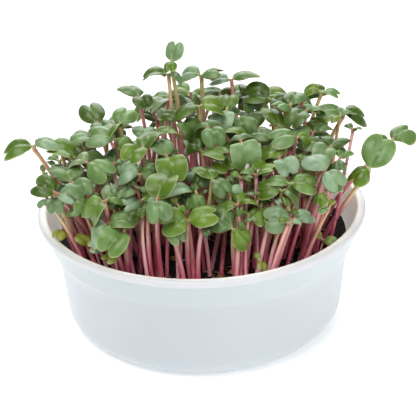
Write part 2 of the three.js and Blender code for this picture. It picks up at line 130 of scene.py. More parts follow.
SAMPLE_ROWS = (0.08, 0.3, 0.52, 0.74, 0.94)
SAMPLE_COLUMNS = (-1, -0.5, 0, 0.5, 1)
PETIOLE_SAMPLES = (0.25, 0.5, 0.75)
STEM_SAMPLE = 2.2
NEIGHBOURHOOD = 60
LEAF_TO_LEAF = 1.75
LEAF_TO_STEM = 2.4
LEAF_TO_OWN_STEM = 2.1
STEM_TO_STEM = 2.95
TOUCH_ZONE = 3.2
TOUCH_CLEAR = 1.3

# Root x, y, stem top x, y, z, the first leaf's heading and tilt in degrees, and its length
LEADERS = (
    (-6, 23, -9, 20, 99, 60, 72, 6),
    (-10, 9, -11, 15, 95, 175, 10, 8),
    (-45, -4, -62, -8, 76, 185, -5, 9.5),
    (-40, 12, -51, 3, 72, 20, 25, 7.5),
    (-38, -20, -49.5, -22, 67.5, 100, 0, 10),
    (46, 1, 74, 0, 70.5, 20, 10, 8.5),
    (43, -15, 65, -12, 65, 60, 45, 10.5),
    (40, 19, 58.5, 16, 76.5, 25, -10, 9),
    (34, -30, 46.3, -28, 70.8, 130, 0, 9),
    (-5, -44, -4.2, -42, 60.7, 185, -20, 9),
    (10, -43, 12.8, -42, 56.8, 130, -5, 9.5),
    (24, -38, 33.8, -38, 57.7, 180, -10, 9),
    (-26, -36, -35.5, -34, 65.5, 215, -30, 8.5),
    (-30, 24, -41, 14, 75.5, 110, 20, 8.5),
    (31, 31, 42, 27, 79, 20, 10, 8.5),
    (-18, 29, -24, 26, 82, 120, 5, 8.5),
    (4, 33, 2, 29, 89, 160, 0, 8),
    (17, 38, 13, 31, 86.5, 20, 0, 8.5),
    (-16, -44, -16, -42, 68.8, 65, 30, 9.5),
    (29.5, 20, 49, 22, 83.5, 150, -10, 5.5),
    (16, -14, 26, -12, 67.4, 90, 20, 8.5),
    (-22, 3, -31.8, -2, 76.2, 160, 0, 9.5),
    (-15, -9, -22.5, -14, 76.6, 45, 10, 9),
    (10, 6, 19.8, 4, 73.2, 190, 0, 8.5),
    (27, -2, 36.2, -2, 71, 0, 0, 8.5),
)


# -------- small helpers
class Draws:
    """A seeded run of draws, the same on every machine."""

    def __init__(self, seed):
        self.seed = seed

    def __call__(self, low, high):
        self.seed = self.seed * 48271 % 2147483647
        return low + (high - low) * (self.seed / 2147483647)


ORIGIN = (0.0, 0.0, 0.0)
draw = Draws(131)


def at(origin, *steps):
    """The point reached from an origin by steps of (direction, length)."""
    x, y, z = origin
    for (dx, dy, dz), length in steps:
        x += dx * length
        y += dy * length
        z += dz * length
    return x, y, z


def put(name, data, place=None):
    """A new object in the scene, at the origin or where a matrix puts it."""
    made = bpy.data.objects.new(name, data)
    if place is not None:
        made.matrix_world = place
    bpy.context.scene.collection.objects.link(made)
    return made


def dot(a, b):
    return a[0] * b[0] + a[1] * b[1] + a[2] * b[2]


def cross(a, b):
    return a[1] * b[2] - a[2] * b[1], a[2] * b[0] - a[0] * b[2], a[0] * b[1] - a[1] * b[0]


def unit(a):
    scale = 1 / (math.sqrt(dot(a, a)) or 1)
    return a[0] * scale, a[1] * scale, a[2] * scale


def turned(a, b, angle):
    """Two directions at right angles, turned together from a towards b."""
    c, s = math.cos(angle), math.sin(angle)
    return at(ORIGIN, (a, c), (b, s)), at(ORIGIN, (b, c), (a, -s))


# -------- seed leaves as the solids hold them
def half_width_at(share):
    for (x0, y0), (x1, y1) in zip(LEAF_HALF_OUTLINE, LEAF_HALF_OUTLINE[1:]):
        if share <= x1:
            return y0 + (y1 - y0) * (share - x0) / (x1 - x0)


BLADE_SAMPLES = np.array([
    (x, y * half_width_at(x))
    for row, x in enumerate(SAMPLE_ROWS)
    for y in SAMPLE_COLUMNS
    if not (row == 0 and abs(y) == 0.5) and not (row == len(SAMPLE_ROWS) - 1 and y == 0)
])


class Leaf:
    """One seed leaf: its petiole leaves the hub along `out`, and its blade is held at its tilt."""

    def __init__(self, hub, up, out, habit):
        self.hub, self.up, self.across = hub, up, cross(up, out)
        self.length, self.half_width = habit["length"], habit["width"] / 2
        self.fold, self.curl, self.petiole = habit["fold"], habit["curl"], habit["petiole"]
        ahead, rise = (turn(habit["rise"]) * self.petiole for turn in (math.cos, math.sin))
        self.foot = at(hub, (out, ahead), (up, rise))
        self.along, flat = turned(out, up, habit["tilt"])
        self.side, self.normal = turned(self.across, flat, habit["twist"])

    def on_blade(self, x, y):
        """A point of the blade at a share of its length and of its half width, or many points."""
        aside = y * self.half_width
        lift = self.fold * abs(aside) - self.curl * x * x * self.length
        return at(self.foot, (self.along, x * self.length), (self.side, aside), (self.normal, lift))

    def petiole_samples(self):
        return np.array([
            [h + (f - h) * share for h, f in zip(self.hub, self.foot)] for share in PETIOLE_SAMPLES
        ])


def draw_habit(size, heading, listed_tilt=None):
    """Draws how one seedling holds its two unequal leaves."""
    def leaf(scale, turn, tilt):
        return {
            "heading": math.radians(heading + turn),
            "length": size * scale,
            "width": size * scale * draw(*WIDTH),
            "petiole": draw(*PETIOLE) * (1 + scale) / 2,
            "rise": math.radians(draw(*RISE)),
            "tilt": math.radians(tilt),
            "twist": math.radians(draw(*TWIST)),
            "fold": draw(*FOLD),
            "curl": draw(*CURL),
        }
    yaw = draw(*YAW)
    first_tilt = draw(*TILT)
    first = leaf(1, 0, first_tilt if listed_tilt is None else listed_tilt)
    scale = draw(*SECOND_LEAF)
    return first, leaf(scale, 180 + yaw, draw(*TILT))


def leaf_at(hub, up, habit):
    flat = (math.cos(habit["heading"]), math.sin(habit["heading"]), 0.0)
    return Leaf(hub, up, unit(at(flat, (up, -dot(flat, up)))), habit)


def draw_up(plug, top):
    """The way a stem top points: with its stem's lean, and drawn to the light at the front."""
    light = LEAST_LIGHT + (1 - LEAST_LIGHT) * min(1, max(0, (LIGHT_EDGE - top[1]) / LIGHT_REACH))
    x = (top[0] - plug["x"]) * LEAN_WITH_STEM + draw(*LEAN_ASIDE)
    y = (top[1] - plug["y"]) * LEAN_WITH_STEM + draw(*LEAN_TO_LIGHT) * light
    return unit((x, y, 1.0))


# -------- planting
def crown_height(x, y):
    """Height of the crown's skin over a place."""
    dome = DOME_TOP - DOME_FALL * (y - DOME_CENTRE) ** 2 - SIDE_FALL * x * x
    arch = ARCH_TOP - ARCH_FALL * (x - ARCH_CENTRE) ** 2 - ARCH_SLOPE * y
    return np.minimum(dome, arch)


def crown_place(plug):
    """Where a tuft carries its leaves: the tufts fan out over the rim, except at the front."""
    behind = max(plug["y"], 0)
    y = plug["y"] if plug["y"] < 0 else plug["y"] * FAN_BACK
    return plug["x"] * (FAN_ASIDE - FAN_TURN * behind), y


class Seedling:
    """A stem from its root to its head, and the pair of leaves above it."""

    def __init__(self, tuft, plug, head, up, habits, touch, listed):
        reach = (head[0] - plug["x"], head[1] - plug["y"], 0.0)
        around = unit(reach) if math.sqrt(dot(reach, reach)) > LEAST_REACH else (1.0, 0.0, 0.0)
        around, _ = turned(around, (-around[1], around[0], 0.0), draw(-ROOT_TURN, ROOT_TURN))
        self.root = at((plug["x"], plug["y"], PLUG_TOP - ROOT_DEPTH), (around, ROOT_RING))
        sway = (draw(-STEM_SWAY, STEM_SWAY), draw(-STEM_SWAY, STEM_SWAY), 0.0)
        bend = at(sway, (reach, draw(*STEM_BOW)))
        self.middle = tuple(
            (1 - share) * a + share * b + c
            for share, a, b, c in zip((STEM_SPREAD, STEM_SPREAD, 0.5), self.root, head, bend)
        )
        hub = at(head, (up, HUB_LIFT))
        self.tuft, self.head, self.up, self.touch, self.listed = tuft, head, up, touch, listed
        self.leaves = [leaf_at(hub, up, habit) for habit in habits]
        blades = [np.stack(leaf.on_blade(*BLADE_SAMPLES.T), 1) for leaf in self.leaves]
        self.blade_points = np.concatenate(blades)
        petioles = [leaf.petiole_samples() for leaf in self.leaves]
        self.leaf_points = np.concatenate(blades + petioles)
        steps = math.floor(math.dist(self.root, head) / STEM_SAMPLE) + 1
        self.stem_points = self.stem_run(np.arange(steps + 1) / steps)

    def stem_run(self, shares):
        """Points of the stem's curve at these shares of its run."""
        t = shares[:, None]
        return (1 - t) * (1 - t) * self.root + 2 * (1 - t) * t * self.middle + t * t * self.head


def too_close(points, others, limit):
    """Whether any of the points comes within the limit of any of the others."""
    if not len(points):
        return False
    low, high = points.min(0) - limit, points.max(0) + limit
    boxed = others[(others >= low).all(1) & (others <= high).all(1)]
    gap = points[:, None, :] - boxed[None, :, :]
    return bool(((gap * gap).sum(2) < limit * limit).any())


class Cloud:
    """Points that stand for things, with the number of each one's owner."""

    def __init__(self):
        self.points, self.owners = np.zeros((0, 3)), np.zeros(0, int)

    def add(self, points, owner):
        self.points = np.vstack([self.points, points])
        self.owners = np.append(self.owners, np.full(len(points), owner))

    def of(self, chosen):
        return self.points[chosen[self.owners]]


class Bed:
    """The seedlings planted so far, with the points that stand for them."""

    def __init__(self):
        self.plants, self.ease = [], 1
        self.heads, self.leaves, self.stems = Cloud(), Cloud(), Cloud()

    def plant(self, plant):
        self.heads.add([plant.head], plant.tuft)
        self.leaves.add(plant.leaf_points, len(self.plants))
        self.stems.add(plant.stem_points, len(self.plants))
        self.plants.append(plant)

    def takes(self, plant):
        """Plants a seedling if the bed has room for it."""
        fits = self.has_room(plant)
        if fits:
            self.plant(plant)
        return fits

    def clear_of(self, plant):
        """Whether a seedling keeps free of all others but where it may touch its own tuft."""
        near = np.sqrt(((self.heads.points - plant.head) ** 2).sum(1)) < NEIGHBOURHOOD
        own = self.heads.owners == plant.tuft
        leaves, stems = plant.leaf_points, plant.stem_points
        for points, others, chosen, limit in (
            (leaves, self.stems, near, LEAF_TO_STEM),
            (stems, self.leaves, near, LEAF_TO_STEM),
            (leaves, self.leaves, near & ~own, LEAF_TO_LEAF),
            (stems, self.stems, near & ~own, STEM_TO_STEM),
        ):
            if too_close(points, others.of(chosen), limit * self.ease):
                return False
        if plant.touch is None:
            return True
        far = leaves[np.sqrt(((leaves - plant.touch) ** 2).sum(1)) > TOUCH_ZONE]
        return not too_close(far, self.leaves.of(near & own), TOUCH_CLEAR)

    def has_room(self, plant):
        """Whether a seedling keeps inside the crown, clear of its own stem and of all others."""
        x, y, z = plant.leaf_points.T
        lift = np.where(x < 0, LEFT_LIFT, RIGHT_LIFT)
        lowest = LOWEST_LEAF + lift * np.maximum(0, np.abs(x) - SIDE_START)
        if plant.listed:
            lowest = LOWEST_LISTED
        if (y < FRONT_EDGE).any() or (z < lowest).any():
            return False
        if not plant.listed and (z > crown_height(x, y) + SKIN_SLACK).any():
            return False
        if too_close(plant.blade_points, plant.stem_points, LEAF_TO_OWN_STEM):
            return False
        return self.clear_of(plant)


bed = Bed()


def plant_leader(tuft, plug):
    """Plants a tuft's first seedling: a listed one at its place, or one drawn into the crown."""
    spot = plug["spot"]
    free = LISTED_FREEDOM if spot else LEADER_FREEDOM
    x, y = spot[2:4] if spot else crown_place(plug)
    for _ in range(MATE_TRIES):
        height = spot[4] if spot else float(crown_height(x, y)) - draw(*LEADER_DEPTH)
        head = (x + draw(-free, free), y + draw(-free, free), height)
        if spot:
            heading = spot[5] + draw(-HEADING_FREEDOM, HEADING_FREEDOM)
            habits = draw_habit(spot[7], heading, spot[6])
        else:
            habits = draw_habit(draw(*LEADER_SIZE), draw(0, 360))
        up = draw_up(plug, head)
        plant = Seedling(tuft, plug, head, up, habits, None, spot is not None)
        if bed.takes(plant):
            return


def mate_head_fits(head, plug, leader):
    """Whether a mate's head lies within reach of its tuft, not far under the crown's skin."""
    centre_x, centre_y = crown_place(plug)
    skin = max(float(crown_height(head[0], head[1])), leader.head[2] - MATE_BELOW_LEADER)
    lean = math.hypot(head[0] - plug["x"], head[1] - plug["y"])
    return (
        max(skin - MATE_DEPTH, LOWEST_HEAD) < head[2] < skin + 1
        and math.hypot(head[0] - centre_x, head[1] - centre_y) < MATE_REACH
        and lean < STEEPEST_LEAN * (head[2] - SOIL_TOP)
    )


def either():
    return int(draw(0, 1) >= 0.5)


def plant_mate(tuft, plug):
    """Adds a seedling whose leaf tip rests in a leaf of its tuft."""
    mates = [plant for plant in bed.plants if plant.tuft == tuft]
    for _ in range(MATE_TRIES):
        host = mates[math.floor(draw(0, len(mates)))]
        host_leaf = host.leaves[either()]
        along = draw(*HOST_ALONG)
        touch = host_leaf.on_blade(along, draw(-HOST_ACROSS, HOST_ACROSS))
        size = draw(*MATE_SIZE)
        habits = draw_habit(size, draw(0, 360))
        up = draw_up(plug, touch)
        own = leaf_at(ORIGIN, up, habits[either()])
        tip = own.on_blade(TIP[0], -TIP[1] if either() else TIP[1])
        head = at(at(touch, (tip, -1.0)), (up, -HUB_LIFT))
        if mate_head_fits(head, plug, mates[0]):
            plant = Seedling(tuft, plug, head, up, habits, touch, False)
            if bed.takes(plant):
                return True
    return False


def choose_plugs():
    """Plugs of the listed leaders, then each time the spiral's spot that is farthest from all."""
    golden_angle = math.pi * (3 - math.sqrt(5))
    spiral = []
    for i in range(SPIRAL_SPOTS):
        radius = SOWN_RADIUS * math.sqrt((i + 0.5) / SPIRAL_SPOTS)
        spiral.append((radius * math.cos(i * golden_angle), radius * math.sin(i * golden_angle)))
    chosen = [{"x": spot[0], "y": spot[1], "spot": spot, "full": False} for spot in LEADERS]

    def distance(place):
        return min(math.hypot(plug["x"] - place[0], plug["y"] - place[1]) for plug in chosen)

    while len(chosen) < TUFTS:
        x, y = max(spiral, key=distance)
        chosen.append({"x": x, "y": y, "spot": None, "full": False})
    return chosen


plugs = choose_plugs()
for tuft, plug in enumerate(plugs):
    plant_leader(tuft, plug)
for _ in range(MATE_ROUNDS):
    for tuft, plug in enumerate(plugs):
        if not plug["full"] and len(bed.plants) < SEEDLINGS:
            plug["full"] = not plant_mate(tuft, plug)


# -------- further seedlings between the tufts
FILLER_TRIES = 400
FILLER_WIDEST = 63
FILLER_FREEDOM = 5
FILLER_EASE = 0.6
FILLER_REACH = 66.5
FILLER_LOWEST = SOIL_TOP + 20
FILLER_SEED = 4021
FILLER_GROUPS = 4
# How many seedlings, the angles in degrees and the radii within which they root, how far back they
# lean, how far they fan out, the length of their leaves, and their depth under the crown's skin
FILLER_RUNS = (
    (40, (200, 325), (36, 54), (4, 22), 1, (4, 6.4), (3, 22)),
    (14, (322, 380), (36, 53), (-2, 10), 0.78, (4.2, 6.6), (3, 24)),
    (12, (20, 160), (26, 52), (-5, 5), 1, (4.2, 6.6), (3, 24)),
    (60, (203, 332), (38, 54), (6, 30), 0.9, (2.2, 3.3), (2, 16)),
)


def plant_filler(number, angles, radii, back, fan, sizes, depths):
    """Adds a slighter seedling on its own root wherever the crown has room for it."""
    for _ in range(FILLER_TRIES):
        angle = math.radians(draw(*angles))
        radius = math.sqrt(draw(radii[0] ** 2, radii[1] ** 2))
        plug = {"x": radius * math.cos(angle), "y": radius * math.sin(angle)}
        x, y = crown_place(plug)
        x, y = x * fan + draw(-FILLER_FREEDOM, FILLER_FREEDOM), y + draw(*back)
        head = (x, y, float(crown_height(x, y)) - draw(*depths))
        habits = draw_habit(draw(*sizes), draw(0, 360))
        up = draw_up(plug, head)
        if head[2] < FILLER_LOWEST:
            continue
        plant = Seedling(TUFTS + number, plug, head, up, habits, None, False)
        x, y, _ = plant.leaf_points.T
        if np.abs(x).max() < FILLER_WIDEST and y.max() < FILLER_REACH and bed.takes(plant):
            return


bed.ease = FILLER_EASE
draw.seed = FILLER_SEED
tries = [where for count, *where in FILLER_RUNS for _ in range(count)]
for number, where in enumerate(tries):
    plant_filler(number, *where)

# Late seedlings low over the soil, listed as the leaders are
LATE_SEEDLINGS = (
    (-33, -35, -36.4, -36.5, 47, 200, 15, 5.2),
    (-37, -29, -39.6, -31, 47, 150, 25, 4.6),
    (-30, -40, -33, -41.5, 46.5, 240, 20, 4.8),
    (-48, -20, -51.2, -22.5, 48.6, 250, 25, 4.4),
    (41, -28, 44, -30, 45, 330, 20, 3.6),
    (20, -46, 21.5, -47, 44.4, 280, 15, 3.4),
)
LATE_EASE = 0.4
LATE_FREEDOM = 1.8
LATE_SEED = 60611
late = []


def plant_late(spot):
    """Adds a small late seedling at its listed place, as far as the stems round it leave room."""
    for _ in range(FILLER_TRIES):
        move = (draw(-LATE_FREEDOM, LATE_FREEDOM), draw(-LATE_FREEDOM, LATE_FREEDOM))
        plug = {"x": spot[0] + move[0], "y": spot[1] + move[1]}
        head = (spot[2] + move[0], spot[3] + move[1], spot[4])
        habits = draw_habit(spot[7], spot[5], spot[6])
        plant = Seedling(-1, plug, head, draw_up(plug, head), habits, None, True)
        if bed.clear_of(plant):
            bed.plant(plant)
            late.append(plant)
            return


bed.ease = LATE_EASE
draw.seed = LATE_SEED
for spot in LATE_SEEDLINGS:
    plant_late(spot)

# -------- fine shapes
form = Draws(913)
FINE_HALF_OUTLINE = (
    (0, 0.08), (0.04, 0.28), (0.12, 0.56), (0.25, 0.84), (0.42, 1), (0.6, 1.03),
    (0.78, 0.96), (0.91, 0.78), (0.985, 0.52), (0.965, 0.27), (0.89, 0.1), (0.8, 0),
)
OUTLINE_STEPS = 18
SPLINE_STEPS = 20
BLADE_CENTRE = 0.45
BLADE_START = 0.8
BEND_END = 0.4
BLADE_RINGS = (0.25, 0.5, 0.72, 0.88, 0.965, 1)
BLADE_HALF_THICKNESS = 0.3
RIM_THINNING = 0.8
CREASE_WIDTH = 0.5
STEM_SIDES = 8
STEM_RINGS = 16
PETIOLE_SIDES = 7
PETIOLE_RINGS = 8
RIB_END = 0.5
FULL_TURN = 6.28
MOST_CUT = 0.45
# Shares of a run with the radii there, in millimetres for a petiole and as shares of a stem's own
PETIOLE_TAPER = ((0, 0.25, 0.6, 1), (0.68, 0.6, 0.46, 0.12))
RIB_DEPTH = ((0, 0.12, 0.5), (0, 0.3, 0.28))
STEM_TAPER = ((0, 0.15, 0.55, 0.9, 1), (1.2, 1.06, 0.98, 0.84, 0.95))
NODE_END = 0.75
WOBBLE = (0.05, 0.3)
WOBBLE_LENGTH = 9
# How far a blade's lobes droop and puff up, and how its rim, tip and plane stray
DROOP = (0.15, 0.9)
PUFF = (0.4, 1.2)
PUFF_WIDTH = 1.5
WAVE = (0.1, 0.55)
WAVES = (1.6, 3.2)
NOD = (0.1, 0.95)
NOD_START = 0.5
SLOPE = (-0.2, 0.2)


def smooth_run(points, steps):
    """Points evenly spaced along a smooth curve through the given ones."""
    given = np.array(points, float)
    padded = np.vstack([2 * given[0] - given[1], given, 2 * given[-1] - given[-2]])
    t = np.linspace(0, 1, SPLINE_STEPS, endpoint=False)[:, None]
    dense = [
        0.5 * (2 * b + (c - a) * t + (2 * a - 5 * b + 4 * c - d) * t ** 2
               + (3 * b - 3 * c + d - a) * t ** 3)
        for a, b, c, d in zip(padded, padded[1:], padded[2:], padded[3:])
    ]
    dense = np.vstack([*dense, given[-1:]])
    run = np.concatenate([[0], np.cumsum(np.linalg.norm(np.diff(dense, axis=0), axis=1))])
    even = np.linspace(0, run[-1], steps + 1)
    return np.stack([np.interp(even, run, column) for column in dense.T], axis=1)


class Shape:
    """Triangles, with two vectors at each point that the material reads."""

    def __init__(self):
        self.points, self.faces, self.spots, self.kinds = [], [], [], []
        self.count = 0

    def add(self, points, faces, spots=ORIGIN, kinds=ORIGIN):
        points = np.asarray(points, float)
        self.points.append(points)
        self.faces.append(np.asarray(faces, int) + self.count)
        self.spots.append(np.broadcast_to(spots, points.shape))
        self.kinds.append(np.broadcast_to(kinds, points.shape))
        self.count += len(points)

    def piece(self, name, material, slot, replaced=()):
        """The finished piece, which rides on the one body and stands for what it replaces."""
        points, faces = np.concatenate(self.points) * MM, np.concatenate(self.faces)
        mesh = bpy.data.meshes.new(name)
        mesh.from_pydata(points.tolist(), [], faces.tolist(), shade_flat=False)
        mesh.validate()
        for key, chunks in (("spot", self.spots), ("kind", self.kinds)):
            layer = mesh.attributes.new(key, "FLOAT_VECTOR", "POINT")
            layer.data.foreach_set("vector", np.concatenate(chunks).astype(np.float32).ravel())
        mesh.materials.append(material)
        made = put(name, mesh)
        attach(made, "root")
        if replaced:
            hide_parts(*replaced)


def quads(a, b, c, d):
    """Two triangles for each four corners."""
    return np.concatenate([np.stack([a, b, c], -1), np.stack([a, c, d], -1)]).reshape(-1, 3)


def ring_faces(sides, rings):
    """Triangles between successive rings of points, and over both ends to two last points."""
    i, j = np.meshgrid(np.arange(sides), np.arange(rings - 1))
    a, b = j * sides + i, j * sides + (i + 1) % sides
    around, last = np.arange(sides), (rings - 1) * sides
    start, end = np.full(sides, rings * sides), np.full(sides, rings * sides + 1)
    return np.concatenate([
        quads(a, b, b + sides, a + sides),
        np.stack([(around + 1) % sides, around, start], -1),
        np.stack([last + around, last + (around + 1) % sides, end], -1),
    ])


def normed(vectors):
    return vectors / np.linalg.norm(vectors, axis=1)[:, None]


def add_tube(shape, path, radii, sideways, sides, run=0, kinds=ORIGIN):
    """A tube round a path. Its run and its three kinds are one number, or one for each ring."""
    path = np.asarray(path)
    tangent = normed(np.gradient(path, axis=0))
    first = normed(sideways - tangent * (tangent @ sideways)[:, None])
    second = np.cross(tangent, first)
    angle = np.arange(sides)[None, :, None] * 2 * math.pi / sides
    ring = np.cos(angle) * first[:, None] + np.sin(angle) * second[:, None]
    rings = path[:, None] + np.asarray(radii)[:, None, None] * ring

    def marks(values):
        values = np.broadcast_to(values, len(path))
        return np.concatenate([np.repeat(values, sides), values[[0, -1]]])

    points = np.vstack([rings.reshape(-1, 3), path[0], path[-1]])
    spots = np.stack([marks(run), marks(0), marks(0)], 1)
    shape.add(points, ring_faces(sides, len(path)), spots, np.stack([marks(k) for k in kinds], 1))


def blade_template():
    """Spots of the blade as (x, y, ring) and its triangles, for the upper side, then the lower."""
    half = smooth_run(FINE_HALF_OUTLINE, OUTLINE_STEPS)
    outline = np.vstack([[0, 0], half, (half[:-1] * (1, -1))[::-1]])
    n = len(outline)
    centre = np.array([BLADE_CENTRE, 0])
    spots = [(*centre, 0)]
    for ring in BLADE_RINGS:
        spots += [(*(centre + ring * (p - centre)), ring) for p in outline]
    k = np.arange(n)
    following = (k + 1) % n
    faces = [np.stack([np.zeros(n, int), 1 + following, 1 + k], -1)]
    for ring in range(len(BLADE_RINGS) - 1):
        a, b = 1 + ring * n + k, 1 + ring * n + following
        faces.append(quads(a, b, b + n, a + n))
    top = np.concatenate(faces)
    count = len(spots)
    a, b = count - n + k, count - n + following
    edge = quads(a, b, count + b, count + a)
    return np.array(spots), np.concatenate([top, top[:, ::-1] + count, edge])


BLADE_SPOTS, BLADE_FACES = blade_template()


def smooth_step(value):
    value = np.clip(value, 0, 1)
    return value * value * (3 - 2 * value)


class Midrib:
    """The line that a fine blade hangs on: up the petiole, then bent into the blade."""

    def __init__(self, leaf):
        self.leaf = leaf
        self.back = (leaf.petiole - BLADE_START) / leaf.length
        rise = np.subtract(leaf.foot, leaf.hub) / leaf.petiole
        self.start = leaf.hub + rise * BLADE_START
        self.bend_end = leaf.on_blade(BEND_END, 0)
        self.stalk_normal = np.cross(rise, leaf.across)

    def frames(self, x):
        """Points, side vectors and normals along the run, which starts before the blade's foot."""
        leaf, share = self.leaf, x * (1 + self.back) - self.back
        t = np.clip((share + self.back) / (BEND_END + self.back), 0, 1)[:, None]
        bent = (1 - t) ** 2 * self.start + 2 * (1 - t) * t * leaf.foot + t * t * self.bend_end
        beyond = np.maximum(share - BEND_END, 0)[:, None]
        drop = leaf.curl * leaf.length * (np.maximum(share, BEND_END) ** 2 - BEND_END ** 2)[:, None]
        points = bent + beyond * leaf.length * leaf.along - drop * leaf.normal
        turn = smooth_step(t)
        side = (1 - turn) * leaf.across + turn * leaf.side
        normal = (1 - turn) * self.stalk_normal + turn * leaf.normal
        return points, normed(side), normed(normal)


def add_blade(shape, midrib, tone, pale):
    """The blade: creased along the midrib, with rounded lobes that droop and wave a little."""
    leaf = midrib.leaf
    x, y, ring = BLADE_SPOTS.T
    points, side, normal = midrib.frames(x)
    aside = y * leaf.half_width
    crease = np.sqrt(aside ** 2 + CREASE_WIDTH ** 2) - CREASE_WIDTH
    droop, puff, wave = form(*DROOP) * (1 - leaf.fold), form(*PUFF), form(*WAVE)
    phase, turns, nod, slope = form(0, FULL_TURN), form(*WAVES), form(*NOD), form(*SLOPE)
    around = np.arctan2(y, x - BLADE_CENTRE)
    lift = leaf.fold * crease * smooth_step(x * 4) + slope * aside * x
    lift -= droop * aside ** 2 / leaf.half_width
    lift += puff * (1 - ring ** 2) * np.minimum(1, np.abs(aside) / PUFF_WIDTH)
    lift += wave * ring ** 3 * np.sin(turns * around + phase)
    lift -= nod * np.maximum(0, x - NOD_START) ** 2 * leaf.length
    middle = points + side * aside[:, None] + normal * lift[:, None]
    offset = BLADE_HALF_THICKNESS * (1 - RIM_THINNING * ring ** 3)[:, None] * normal
    spots = np.vstack([BLADE_SPOTS, BLADE_SPOTS])
    which = np.repeat([1.0 + pale, -1.0 - pale], len(BLADE_SPOTS))
    kinds = np.stack([which, np.full(len(which), tone), np.zeros(len(which))], 1)
    shape.add(np.vstack([middle + offset, middle - offset]), BLADE_FACES, spots, kinds)


def add_petiole(shape, midrib, tone):
    """The leaf's stalk: round at the hub, then a rib that fades along the blade's underside."""
    leaf = midrib.leaf
    shares = np.linspace(0, RIB_END, PETIOLE_RINGS - 2)
    points, _, normal = midrib.frames(shares)
    under = points - normal * np.interp(shares, *RIB_DEPTH)[:, None]
    second = np.array(leaf.hub) * 0.6 + midrib.start * 0.4
    path = np.vstack([at(leaf.hub, (leaf.up, -0.5)), second, under])
    run = np.linspace(0, 1, PETIOLE_RINGS)
    radii = np.interp(run, *PETIOLE_TAPER)
    add_tube(shape, path, radii, leaf.across, PETIOLE_SIDES, run, (-1, tone, 1 - 0.8 * run))


def add_stem(shape, plant, radius, tone, green):
    """A stem from its root in the soil to a slightly swollen node under the petioles."""
    share = np.linspace(0, 1, STEM_RINGS - 1)
    path = np.vstack([plant.stem_run(share), at(plant.head, (plant.up, HUB_LIFT))])
    length = math.dist(plant.root, plant.head)
    wobble, phase = form(*WOBBLE), form(0, FULL_TURN)
    sway = wobble * np.sin(share * length / WOBBLE_LENGTH + phase) * np.sin(math.pi * share)
    path[:-1, 0] += sway
    path[:-1, 1] += sway * math.cos(phase)
    radii = np.append(radius * np.interp(share, *STEM_TAPER), radius * NODE_END)
    run = np.append(share, 1)
    add_tube(shape, path, radii, (1, 0.2, 0), STEM_SIDES, run, (green, tone, 0))


def circles(profile, sides):
    """A level ring of points for each (radius, height)."""
    angle = np.arange(sides) * 2 * math.pi / sides
    x, y = np.cos(angle), np.sin(angle)
    return [np.stack([r * x, r * y, np.full(sides, z)], 1) for r, z in profile]


def rings_shape(profile, sides):
    """A closed turned shape from (radius, height) points, with its first and last on the axis."""
    rings = circles(profile[1:-1], sides)
    points = np.vstack([*rings, (0, 0, profile[0][1]), (0, 0, profile[-1][1])])
    return points, ring_faces(sides, len(rings))


def foot_arc(radius, start, end, steps):
    """The tub's rounded foot, or a surface inside it, as (radius, height) points."""
    angles = np.radians(np.linspace(start, end, steps + 1))
    centre = WALL_FOOT_RADIUS - FOOT_FILLET
    return [(centre + radius * math.cos(a), FOOT_FILLET + radius * math.sin(a)) for a in angles]


def rounded(corners, steps=5):
    """A profile of (radius, height, rounding) corners, each cut by a small smooth bend."""
    spots = np.array([corner[:2] for corner in corners], float)
    made = [spots[0]]
    for before, here, after, (*_, size) in zip(spots, spots[1:], spots[2:], corners[1:]):
        if not size:
            made.append(here)
            continue
        a, b = (
            here + (other - here) * min(MOST_CUT, size / np.linalg.norm(other - here))
            for other in (before, after)
        )
        for t in np.linspace(0, 1, steps):
            made.append((1 - t) ** 2 * a + 2 * (1 - t) * t * here + t * t * b)
    return [*made, spots[-1]]


# -------- materials
BAND_START = (35, 36.5)
LIP_START = (45.2, 46.4)
SOIL_FLECK = (0.100, 0.050, 0.025)


